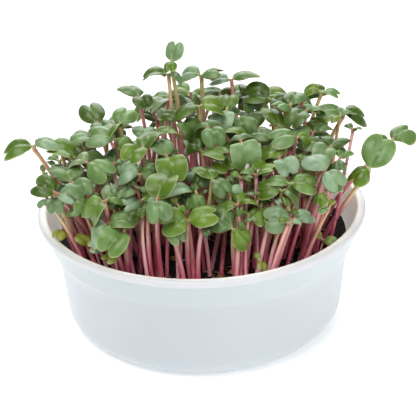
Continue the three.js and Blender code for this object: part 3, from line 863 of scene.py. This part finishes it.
class Graph:
    """A material and the few kinds of node that it is built from."""

    def __init__(self, name):
        self.material = bpy.data.materials.new(name)
        self.material.use_nodes = True
        self.tree = self.material.node_tree
        self.shader = self.tree.nodes["Principled BSDF"]

    def link(self, source, target):
        if hasattr(source, "is_output"):
            self.tree.links.new(source, target)
        else:
            target.default_value = source

    def node(self, kind, inputs, output=0, **settings):
        """An output of a new node, whose inputs are linked or set."""
        made = self.tree.nodes.new("ShaderNode" + kind)
        for key, value in settings.items():
            setattr(made, key, value)
        for key, value in inputs.items():
            self.link(value, made.inputs[key])
        return made.outputs[output]

    def math(self, operation, *values):
        return self.node("Math", dict(enumerate(values)), operation=operation)

    def times(self, first, second):
        return self.math("MULTIPLY", first, second)

    def split(self, vector):
        return self.node("SeparateXYZ", {0: vector}).node.outputs

    def attribute(self, name):
        kind = {"attribute_name": name, "attribute_type": "GEOMETRY"}
        return self.split(self.node("Attribute", {}, "Vector", **kind))

    def coordinates(self, scale=(1, 1, 1)):
        """The object's own coordinates in metres, times a scale."""
        place = self.node("TexCoord", {}, "Object")
        return self.node("Mapping", {"Vector": place, "Scale": scale})

    def noise(self, scale, detail=2, rough=0.5, where=None):
        where = where or self.coordinates()
        inputs = {"Vector": where, "Scale": scale, "Detail": detail, "Roughness": rough}
        return self.node("TexNoise", inputs, "Fac")

    def ramp(self, value, low, high, start=0, end=1):
        """The value spread from low..high over start..end, held within them."""
        values = dict(enumerate((value, low, high, start, end)))
        return self.node("MapRange", values, interpolation_type="SMOOTHSTEP")

    def mix(self, share, first, second):
        first, second = ((*c, 1) if isinstance(c, tuple) else c for c in (first, second))
        return self.node("Mix", {0: share, 6: first, 7: second}, 2, data_type="RGBA")

    def coat(self, base, colour, value, low, high, most=1):
        """The base, with a colour over it as far as the value has climbed from low to high."""
        return self.mix(self.ramp(value, low, high, 0, most), base, colour)

    def bump(self, height, strength, distance):
        inputs = {"Height": height, "Strength": strength, "Distance": distance * MM}
        self.link(self.node("Bump", inputs), self.shader.inputs["Normal"])

    def finish(self, colour, roughness, **constants):
        self.link(colour, self.shader.inputs["Base Color"])
        self.link(roughness, self.shader.inputs["Roughness"])
        for key, value in constants.items():
            self.shader.inputs[key.replace("_", " ")].default_value = value
        return self.material


def leaf_material():
    """Greens that differ from leaf to leaf, with a pale rim, ribs, and a painted sheen of the sky
    over the upper side of most.
    """
    g = Graph("leaf")
    x, y, ring = g.attribute("spot")
    side, tone, stalk = g.attribute("kind")
    cloud = g.noise(160, 3)
    fine = g.noise(900, 3, 0.6)
    off_middle = g.math("ABSOLUTE", y)
    shade = g.math("ADD", g.times(tone, 0.66), g.times(g.ramp(cloud, 0.3, 0.7), 0.34))
    upper = g.coat((0.036, 0.079, 0.001), (0.072, 0.144, 0.002), shade, 0.08, 0.5)
    upper = g.coat(upper, (0.130, 0.228, 0.012), shade, 0.45, 0.95)
    lower = g.coat((0.085, 0.125, 0.002), (0.200, 0.265, 0.010), shade, 0.1, 0.75)
    lower = g.coat(lower, (0.150, 0.100, 0.030), tone, 0.6, 0.9, 0.7)
    body = g.coat(lower, upper, side, -0.2, 0.2)
    pale = g.math("SUBTRACT", g.math("ABSOLUTE", side), 1)
    body = g.mix(pale, body, (0.330, 0.340, 0.030))

    # Painted sheen: a pale green, on some leaves mint, reflection of the sky painted into the upper
    # side's colour on most leaves, except at the far right
    painted_sheen = g.ramp(g.math("FRACT", g.times(tone, 7.3)), 0.15, 0.9, 0, 0.85)
    painted_sheen = g.times(g.times(painted_sheen, g.ramp(cloud, 0.3, 0.7, 0.45, 1)), g.ramp(side, 0, 1))
    painted_mint_sheen = g.ramp(g.math("FRACT", g.times(tone, 3.7)), 0.45, 0.85)
    painted_mint_sheen = g.times(painted_mint_sheen, g.ramp(g.split(g.coordinates())[0], 0.04, 0.06, 1, 0))
    body = g.mix(painted_sheen, body, g.mix(painted_mint_sheen, (0.165, 0.285, 0.110), (0.330, 0.480, 0.330)))

    midrib = g.times(g.ramp(off_middle, 0.07, 0), g.ramp(x, 0.85, 0.1))
    body = g.mix(g.times(midrib, 0.45), body, (0.300, 0.370, 0.120))
    slant = g.math("SUBTRACT", g.times(x, 30), g.times(off_middle, 17))
    vein = g.ramp(g.math("SINE", slant), 0.86, 1)
    veins = g.times(vein, g.ramp(ring, 0.95, 0.4))
    body = g.mix(g.times(veins, 0.16), body, (0.240, 0.330, 0.110))
    rim = g.coat((0.150, 0.110, 0.040), (0.380, 0.430, 0.190), tone, 0.3, 0.6)
    body = g.coat(body, rim, ring, 0.93, 0.98, 0.8)
    base = g.times(g.ramp(x, 0.22, 0), g.ramp(off_middle, 0.35, 0.05))
    body = g.mix(g.times(base, 0.5), body, (0.300, 0.330, 0.110))
    petiole = g.coat((0.420, 0.220, 0.140), (0.380, 0.400, 0.150), tone, 0.3, 0.8)
    colour = g.coat(body, petiole, stalk, 0.2, 0.7)
    hollows = g.times(g.math("SUBTRACT", midrib, vein), -0.5)
    g.bump(g.math("ADD", g.times(fine, 0.5), hollows), 0.25, 0.25)
    return g.finish(
        colour, g.ramp(cloud, 0.25, 0.75, 0.29, 0.4), Specular_IOR_Level=0.58,
        Subsurface_Weight=0.14, Subsurface_Radius=(0.9 * MM, 1.3 * MM, 0.3 * MM),
        Subsurface_Scale=1, Sheen_Weight=0.03, Sheen_Roughness=0.3, Sheen_Tint=(0.85, 0.98, 1, 1),
    )


def stem_material():
    """Rose to mauve from the root up, streaked, and warmer or greener towards the head."""
    g = Graph("stem")
    run, _, _ = g.attribute("spot")
    green, tone, _ = g.attribute("kind")
    streak = g.noise(1, 3, 0.6, g.coordinates((900, 900, 70)))
    cloud = g.noise(120, 2)
    rose = g.coat((0.480, 0.060, 0.115), (0.670, 0.165, 0.230), tone, 0.1, 0.6)
    rose = g.coat(rose, (0.800, 0.400, 0.430), tone, 0.65, 1)
    rose = g.coat(rose, (0.860, 0.540, 0.570), streak, 0.4, 0.8, 0.4)
    rose = g.coat(rose, (0.850, 0.530, 0.465), run, 0.3, 0.8, 0.7)
    warm = g.coat((0.560, 0.260, 0.150), (0.600, 0.540, 0.230), green, 0.5, 0.8)
    upper = g.mix(g.times(g.ramp(run, 0.4, 0.95), g.ramp(green, 0.15, 0.75)), rose, warm)
    node = g.coat(upper, (0.380, 0.080, 0.060), run, 0.955, 1, 0.5)
    colour = g.coat(node, (0.330, 0.080, 0.090), cloud, 0.5, 0.8, 0.3)
    g.bump(streak, 0.2, 0.3)
    return g.finish(
        colour, g.ramp(cloud, 0.3, 0.7, 0.3, 0.44), Specular_IOR_Level=0.45, Subsurface_Weight=0.35,
        Subsurface_Radius=(2.4 * MM, 1.1 * MM, 1.1 * MM), Subsurface_Scale=1,
    )


def tub_material():
    """Cloudy white plastic, cool outside and warmer inside, a little duller above the step; the
    inside is also painted far paler than the outside, painted light for the light through the wall.
    """
    g = Graph("tub")
    _, height, inside = g.attribute("spot")
    cloud = g.noise(22, 3)
    outer = g.coat((0.575, 0.628, 0.680), (0.612, 0.664, 0.696), cloud, 0.35, 0.65)
    outer = g.coat(outer, (0.545, 0.605, 0.625), height, *BAND_START)
    outer = g.coat(outer, (0.550, 0.555, 0.570), height, *LIP_START)
    # The inside's own colour is a warm beige, painted far paler than the outside as painted light
    # standing in for daylight through the wall
    inner = g.coat((0.900, 0.850, 0.740), (0.940, 0.900, 0.820), cloud, 0.3, 0.7)
    g.bump(g.noise(1400, 2), 0.05, 0.1)
    return g.finish(
        g.mix(inside, outer, inner), g.ramp(cloud, 0.25, 0.75, 0.33, 0.43), Specular_IOR_Level=0.45,
        Subsurface_Weight=0.8, Subsurface_Radius=(8 * MM, 8 * MM, 8 * MM), Subsurface_Scale=1,
    )


def soil_material():
    """Dark compost with lighter fibres, and some crumbs that are lighter all over."""
    g = Graph("soil")
    cloud, grain = g.noise(260, 4, 0.65), g.noise(1100, 4, 0.7)
    _, tone, _ = g.attribute("kind")
    colour = g.coat((0.0045, 0.0030, 0.0022), (0.030, 0.017, 0.011), cloud, 0.38, 0.72)
    colour = g.coat(colour, SOIL_FLECK, grain, 0.62, 0.74, 0.8)
    colour = g.coat(colour, SOIL_FLECK, tone, 0.55, 1, 0.75)
    g.bump(g.math("ADD", grain, cloud), 0.9, 0.7)
    return g.finish(colour, g.ramp(grain, 0.3, 0.7, 0.78, 0.98), Specular_IOR_Level=0.25)


def husk_material():
    g = Graph("husk")
    _, tone, _ = g.attribute("kind")
    cloud = g.noise(700, 3)
    colour = g.coat((0.300, 0.085, 0.025), (0.520, 0.215, 0.070), tone, 0.1, 0.9)
    colour = g.coat(colour, (0.160, 0.050, 0.020), cloud, 0.45, 0.75, 0.5)
    g.bump(cloud, 0.35, 0.25)
    return g.finish(colour, g.ramp(cloud, 0.3, 0.7, 0.35, 0.6), Specular_IOR_Level=0.4)


def root_material():
    g = Graph("root_thread")
    cloud = g.noise(500, 2)
    colour = g.coat((0.560, 0.470, 0.370), (0.760, 0.700, 0.620), cloud, 0.35, 0.7)
    g.bump(cloud, 0.2, 0.1)
    return g.finish(colour, g.ramp(cloud, 0.3, 0.7, 0.5, 0.7), Specular_IOR_Level=0.3)


LEAF, STEM, TUB = leaf_material(), stem_material(), tub_material()
SOIL, HUSK, ROOT = soil_material(), husk_material(), root_material()

# -------- tub
TUB_SIDES = 160
# Heights with the inner radii there, which tell the inside of the wall from the outside
INSIDE_WITHIN = ((WALL, WALL_TOP_HEIGHT, STEP_HEIGHT, TUB_HEIGHT), (45, 57, 59.2, 62.6))


def make_tub():
    lip_bottom = TUB_HEIGHT - LIP_HEIGHT
    outside = [
        (0, 0, 0),
        *((r, z, 0) for r, z in foot_arc(FOOT_FILLET, -90, FILLET_END, 14)),
        (WALL_TOP_RADIUS, WALL_TOP_HEIGHT, 3),
        (STEP_RADIUS - STEP_DEPTH, STEP_HEIGHT - STEP_DEPTH, 0.5),
        (STEP_RADIUS, STEP_HEIGHT, 0.6),
        (RIM_RADIUS - LIP_UNDERCUT, lip_bottom - LIP_UNDERCUT / 2, 0.6),
        (RIM_RADIUS, lip_bottom, 0.7),
        (RIM_RADIUS - 0.15, TUB_HEIGHT, 0.9),
    ]
    inside = [
        (RIM_RADIUS - LIP_WIDTH, TUB_HEIGHT, 0.9),
        (STEP_RADIUS - WALL, STEP_HEIGHT + STEP_DEPTH, 1),
        (WALL_TOP_RADIUS - WALL, WALL_TOP_HEIGHT, 1),
        *((r, z, 0) for r, z in foot_arc(FOOT_FILLET - WALL, FILLET_END, -90, 6)),
        (0, WALL, 0),
    ]
    points, faces = rings_shape(rounded([*outside, *inside]), TUB_SIDES)
    radius, height = np.hypot(points[:, 0], points[:, 1]), points[:, 2]
    within = (radius < np.interp(height, *INSIDE_WITHIN)) & (height > 1)
    shape = Shape()
    shape.add(points, faces, np.stack([radius, height, within], 1))
    shape.piece("tub_fine", TUB, "tub_plastic", ("tub",))


make_tub()

# -------- soil
SOIL_RADIUS = STEP_RADIUS - WALL - CLEARANCE
SOIL_RINGS = 84
SOIL_SIDES = 240
RINGS_CLOSER = 0.8
LUMP_SCALE = 0.16
LUMP_HEIGHT = 0.75
GRAIN_SCALE = 0.7
GRAIN_HEIGHT = 0.5
DIP_START = 0.93
DIP_SLOPE = 14
CRUMBS = 620
CRUMB_SIDES = 7
CRUMB_RINGS = 4
HUSKS = 34
HUSK_GRID = 9
HUSK_SIZE = (0.9, 1.35)
CAUGHT_HUSK_SIZE = 1.3
CAUGHT_HUSK_NEAR = (29, -20, 67)
THREADS = 110
THREAD_SIDES = 5
THREAD_RINGS = 9
THREAD_RADIUS = (0.2, 0.07)


def soil_height(x, y):
    """The bed's surface: the solid's slow waves, with lumps, grains and a dip along the wall."""
    bump = SOIL_BUMP * math.sin(x * SOIL_WAVE_X + 1) * math.cos(y * SOIL_WAVE_Y)
    lumps = noise.turbulence(Vector((x * LUMP_SCALE, y * LUMP_SCALE, 3)), 3, False) - 0.9
    grains = noise.turbulence(Vector((x * GRAIN_SCALE, y * GRAIN_SCALE, 9)), 3, False) - 0.9
    dip = max(0, math.hypot(x, y) / SOIL_RADIUS - DIP_START) * DIP_SLOPE
    return SOIL_TOP + bump + LUMP_HEIGHT * lumps + GRAIN_HEIGHT * grains - dip


def on_soil(radius, angle):
    x, y = radius * math.cos(angle), radius * math.sin(angle)
    return x, y, soil_height(x, y)


def scattered(margin, least=0):
    """A place drawn on the bed, away from its wall and, with a least share, from its middle."""
    angle = form(0, 2 * math.pi)
    return on_soil((SOIL_RADIUS - margin) * math.sqrt(form(least, 1)), angle)


def make_soil():
    angles = np.arange(SOIL_SIDES) * 2 * math.pi / SOIL_SIDES
    top = [
        on_soil(SOIL_RADIUS * (ring / SOIL_RINGS) ** RINGS_CLOSER, angle)
        for ring in range(SOIL_RINGS, 0, -1)
        for angle in angles
    ]
    inner = WALL + CLEARANCE
    wall = [
        *foot_arc(FOOT_FILLET - inner, -90, FILLET_END, 3),
        (WALL_TOP_RADIUS - inner, WALL_TOP_HEIGHT),
    ]
    points = np.vstack([*circles(wall, SOIL_SIDES), top, (0, 0, inner), (0, 0, soil_height(0, 0))])
    shape = Shape()
    shape.add(points, ring_faces(SOIL_SIDES, len(wall) + SOIL_RINGS))
    shape.piece("soil_fine", SOIL, "compost", ("soil",))


def make_crumbs():
    """Crumbs of compost: little balls, each with its own stretch and lumps."""
    shape = Shape()
    turns = [math.pi * k / (CRUMB_RINGS + 1) for k in range(CRUMB_RINGS + 2)]
    points, faces = rings_shape([(math.sin(t), -math.cos(t)) for t in turns], CRUMB_SIDES)
    for _ in range(CRUMBS):
        x, y, z = scattered(1.6)
        size = form(0.35, 1.25) ** 1.3
        stretch = np.array([form(0.7, 1.4), form(0.7, 1.4), form(0.5, 0.9)]) * size
        offset = Vector((form(0, 90), form(0, 90), form(0, 90)))
        lumps = np.array([1 + 0.55 * noise.noise(Vector(p) * 1.6 + offset) for p in points])
        made = points * lumps[:, None] * stretch + (x, y, z + 0.25 * size)
        shape.add(made, faces, kinds=(0, form(0, 1), 0))
    shape.piece("soil_crumbs", SOIL, "compost")


def add_husk(shape, centre, size, turn):
    """A split seed coat: a thin curved shell, open below, lying as it fell."""
    u, v = np.meshgrid(np.linspace(0, 1, HUSK_GRID), np.linspace(-1, 1, HUSK_GRID))
    u, v = u.ravel(), v.ravel()
    length = 1.15 * np.sin(math.pi * (0.08 + 0.84 * u)) ** 0.6
    height = 0.95 * length * np.sqrt(np.maximum(0, 1 - 0.8 * v * v))
    outer = np.stack([(u - 0.5) * 2.6, v * 0.95 * length, height], 1)
    grid = np.arange(HUSK_GRID ** 2).reshape(HUSK_GRID, HUSK_GRID)
    a, b = grid[:-1, :-1].ravel(), grid[1:, :-1].ravel()
    sheet = quads(a, a + 1, b + 1, b)
    rim = np.concatenate([grid[0], grid[1:, -1], grid[-1, -2::-1], grid[-2:0:-1, 0]])
    after, inside = np.roll(rim, -1), grid.size
    edge = quads(rim, rim + inside, after + inside, after)
    faces = np.concatenate([sheet, sheet[:, ::-1] + inside, edge])
    points = np.vstack([outer, outer * (0.9, 0.88, 0.84)]) * size @ np.array(turn).T + centre
    shape.add(points, faces, kinds=(0, form(0, 1), 0))


def make_husks():
    shape = Shape()
    for _ in range(HUSKS):
        x, y, z = scattered(4, 0.25)
        turn = Matrix.Rotation(form(0, FULL_TURN), 3, "Z")
        turn = turn @ Matrix.Rotation(form(-1.2, 1.2), 3, "X")
        add_husk(shape, (x, y, z + 0.35), form(*HUSK_SIZE), turn)
    shape.piece("seed_husks", HUSK, "compost")


def make_caught_husk():
    """One husk still lies in a leaf, high in the crown."""
    leaves = [leaf for plant in bed.plants for leaf in plant.leaves if leaf.normal[2] > 0.6]
    leaf = min(leaves, key=lambda one: math.dist(one.on_blade(0.5, 0), CAUGHT_HUSK_NEAR))
    turn = Matrix((leaf.along, leaf.side, leaf.normal)).transposed()
    shape = Shape()
    add_husk(shape, at(leaf.on_blade(0.5, 0.1), (leaf.normal, 0.8)), CAUGHT_HUSK_SIZE, turn)
    shape.piece("caught_husk", HUSK, "leaf_skin")


def make_threads():
    """White rootlets that run over the soil from the feet of the stems."""
    shape = Shape()
    radii = np.linspace(*THREAD_RADIUS, THREAD_RINGS)
    for k in range(THREADS):
        plant = bed.plants[k * 7 % len(bed.plants)]
        angle, length, bend = form(0, 2 * math.pi), form(3, 8), form(-0.25, 0.25)
        (x, y, _), path = plant.root, []
        for step in range(THREAD_RINGS):
            path.append((x, y, soil_height(x, y) + 0.12 + 0.35 * math.sin(step * 0.9 + k)))
            x += length / THREAD_RINGS * math.cos(angle)
            y += length / THREAD_RINGS * math.sin(angle)
            angle += bend
        if math.hypot(x, y) < SOIL_RADIUS - 1:
            add_tube(shape, path, radii, (0, 0, 1), THREAD_SIDES)
    shape.piece("root_threads", ROOT, "stem_skin")


make_soil()
make_crumbs()
make_husks()
make_threads()

# -------- seedlings
STEM_RADIUS = (0.8, 1.02)
FILLER_STEM = (0.65, 0.88)
LATE_STEM = (0.4, 0.5)
# A leaf is paler by what is drawn above 0
PALE_LEAVES = (-9, 0.6)
LATE_PALE = (0.5, 0.9)
FINE_NAME = "{}_fine_{:02d}"
FILLER_NAME = "filler_{}_{:02d}"
LATE_NAME = "late_{}_{:02d}"


def make_seedlings(number, plants, name, stem_radius, pale=PALE_LEAVES):
    """The stems of some seedlings as one piece and their leaves as another."""
    stems, leaves = Shape(), Shape()
    for plant in plants:
        tone, green = form(0, 1), form(0, 1)
        add_stem(stems, plant, form(*stem_radius), tone, green)
        for leaf in plant.leaves:
            midrib = Midrib(leaf)
            add_petiole(leaves, midrib, green)
            add_blade(leaves, midrib, form(0, 1), max(0, form(*pale)))
    for part, shape, material, slot in (
        ("stems", stems, STEM, "stem_skin"), ("leaves", leaves, LEAF, "leaf_skin"),
    ):
        replaced = (f"{part}_{number:02d}",) if name == FINE_NAME else ()
        shape.piece(name.format(part, number), material, slot, replaced)


for tuft in range(TUFTS):
    plants = [plant for plant in bed.plants if plant.tuft == tuft]
    make_seedlings(tuft + 1, plants, FINE_NAME, STEM_RADIUS)
fillers = [plant for plant in bed.plants if plant.tuft >= TUFTS]
for group in range(FILLER_GROUPS):
    make_seedlings(group + 1, fillers[group::FILLER_GROUPS], FILLER_NAME, FILLER_STEM)
make_seedlings(1, late, LATE_NAME, LATE_STEM, LATE_PALE)
make_caught_husk()

# -------- stage
TARGET = Vector((2.5, 0, 45.1)) * MM
DISTANCE = 460 * MM
ELEVATION = math.radians(26.6)
ROLL = math.radians(-1.76)
SENSOR = 36
FOCAL_PIXELS = 1150
IMAGE_PIXELS = 416
FLOOR_REACH = 4
FLOOR_GLOW = (0.5, 2.2, 0.3, 0.9)
WORLD_COLOUR = (0.96, 0.98, 1, 1)
WORLD_STRENGTH = 0.27
# Each light's place, the point that it aims at, its width, its watts and its colour
LIGHTS = {
    "key": ((-0.35, -0.45, 1.05), (0, 0, 0.05), 0.9, 9, (1, 0.99, 0.97)),
    "fill": ((0.75, -0.9, 0.6), (0, 0, 0.05), 1, 6.2, (0.96, 0.98, 1)),
    "back": ((0, 1.05, 0.9), (0, 0, 0.07), 1.5, 19, (0.97, 0.99, 1)),
}


def make_floor():
    """A pale floor that glows more the farther it reaches, so that its edge stays out of sight."""
    mesh = bpy.data.meshes.new("floor")
    r = FLOOR_REACH
    mesh.from_pydata([(-r, -r, 0), (r, -r, 0), (r, r, 0), (-r, r, 0)], [], [(0, 1, 2, 3)])
    g = Graph("floor")
    g.shader.inputs["Emission Color"].default_value = (1, 1, 1, 1)
    away = g.node("VectorMath", {0: g.coordinates()}, "Value", operation="LENGTH")
    g.link(g.ramp(away, *FLOOR_GLOW), g.shader.inputs["Emission Strength"])
    colour = g.mix(g.noise(3, 2), (0.90, 0.90, 0.90), (0.93, 0.93, 0.93))
    g.finish(colour, 0.8, Specular_IOR_Level=0.1)
    mesh.materials.append(g.material)
    floor = put("floor", mesh)


def make_world():
    world = bpy.data.worlds.new("studio")
    world.use_nodes = True
    background = world.node_tree.nodes["Background"]
    background.inputs["Color"].default_value = WORLD_COLOUR
    background.inputs["Strength"].default_value = WORLD_STRENGTH
    bpy.context.scene.world = world


def add_light(name, place, aim, size, watts, colour):
    data = bpy.data.lights.new(name, "AREA")
    data.shape = "DISK"
    data.size, data.energy, data.color = size, watts, colour
    turn = (Vector(aim) - Vector(place)).to_track_quat("-Z", "Y").to_matrix().to_4x4()
    put(name, data, Matrix.Translation(place) @ turn)


def add_camera():
    turn = Matrix.Rotation(math.pi / 2 - ELEVATION, 4, "X") @ Matrix.Rotation(ROLL, 4, "Z")
    place = Matrix.Translation(TARGET) @ turn @ Matrix.Translation((0, 0, DISTANCE))
    data = bpy.data.cameras.new("camera")
    data.lens, data.sensor_width = FOCAL_PIXELS / IMAGE_PIXELS * SENSOR, SENSOR
    data.clip_start, data.clip_end = 0.01, 50
    bpy.context.scene.camera = put("camera", data, place)


make_floor()
make_world()
for name, light in LIGHTS.items():
    add_light(name, *light)
add_camera()
bpy.context.scene.view_settings.view_transform = "Standard"
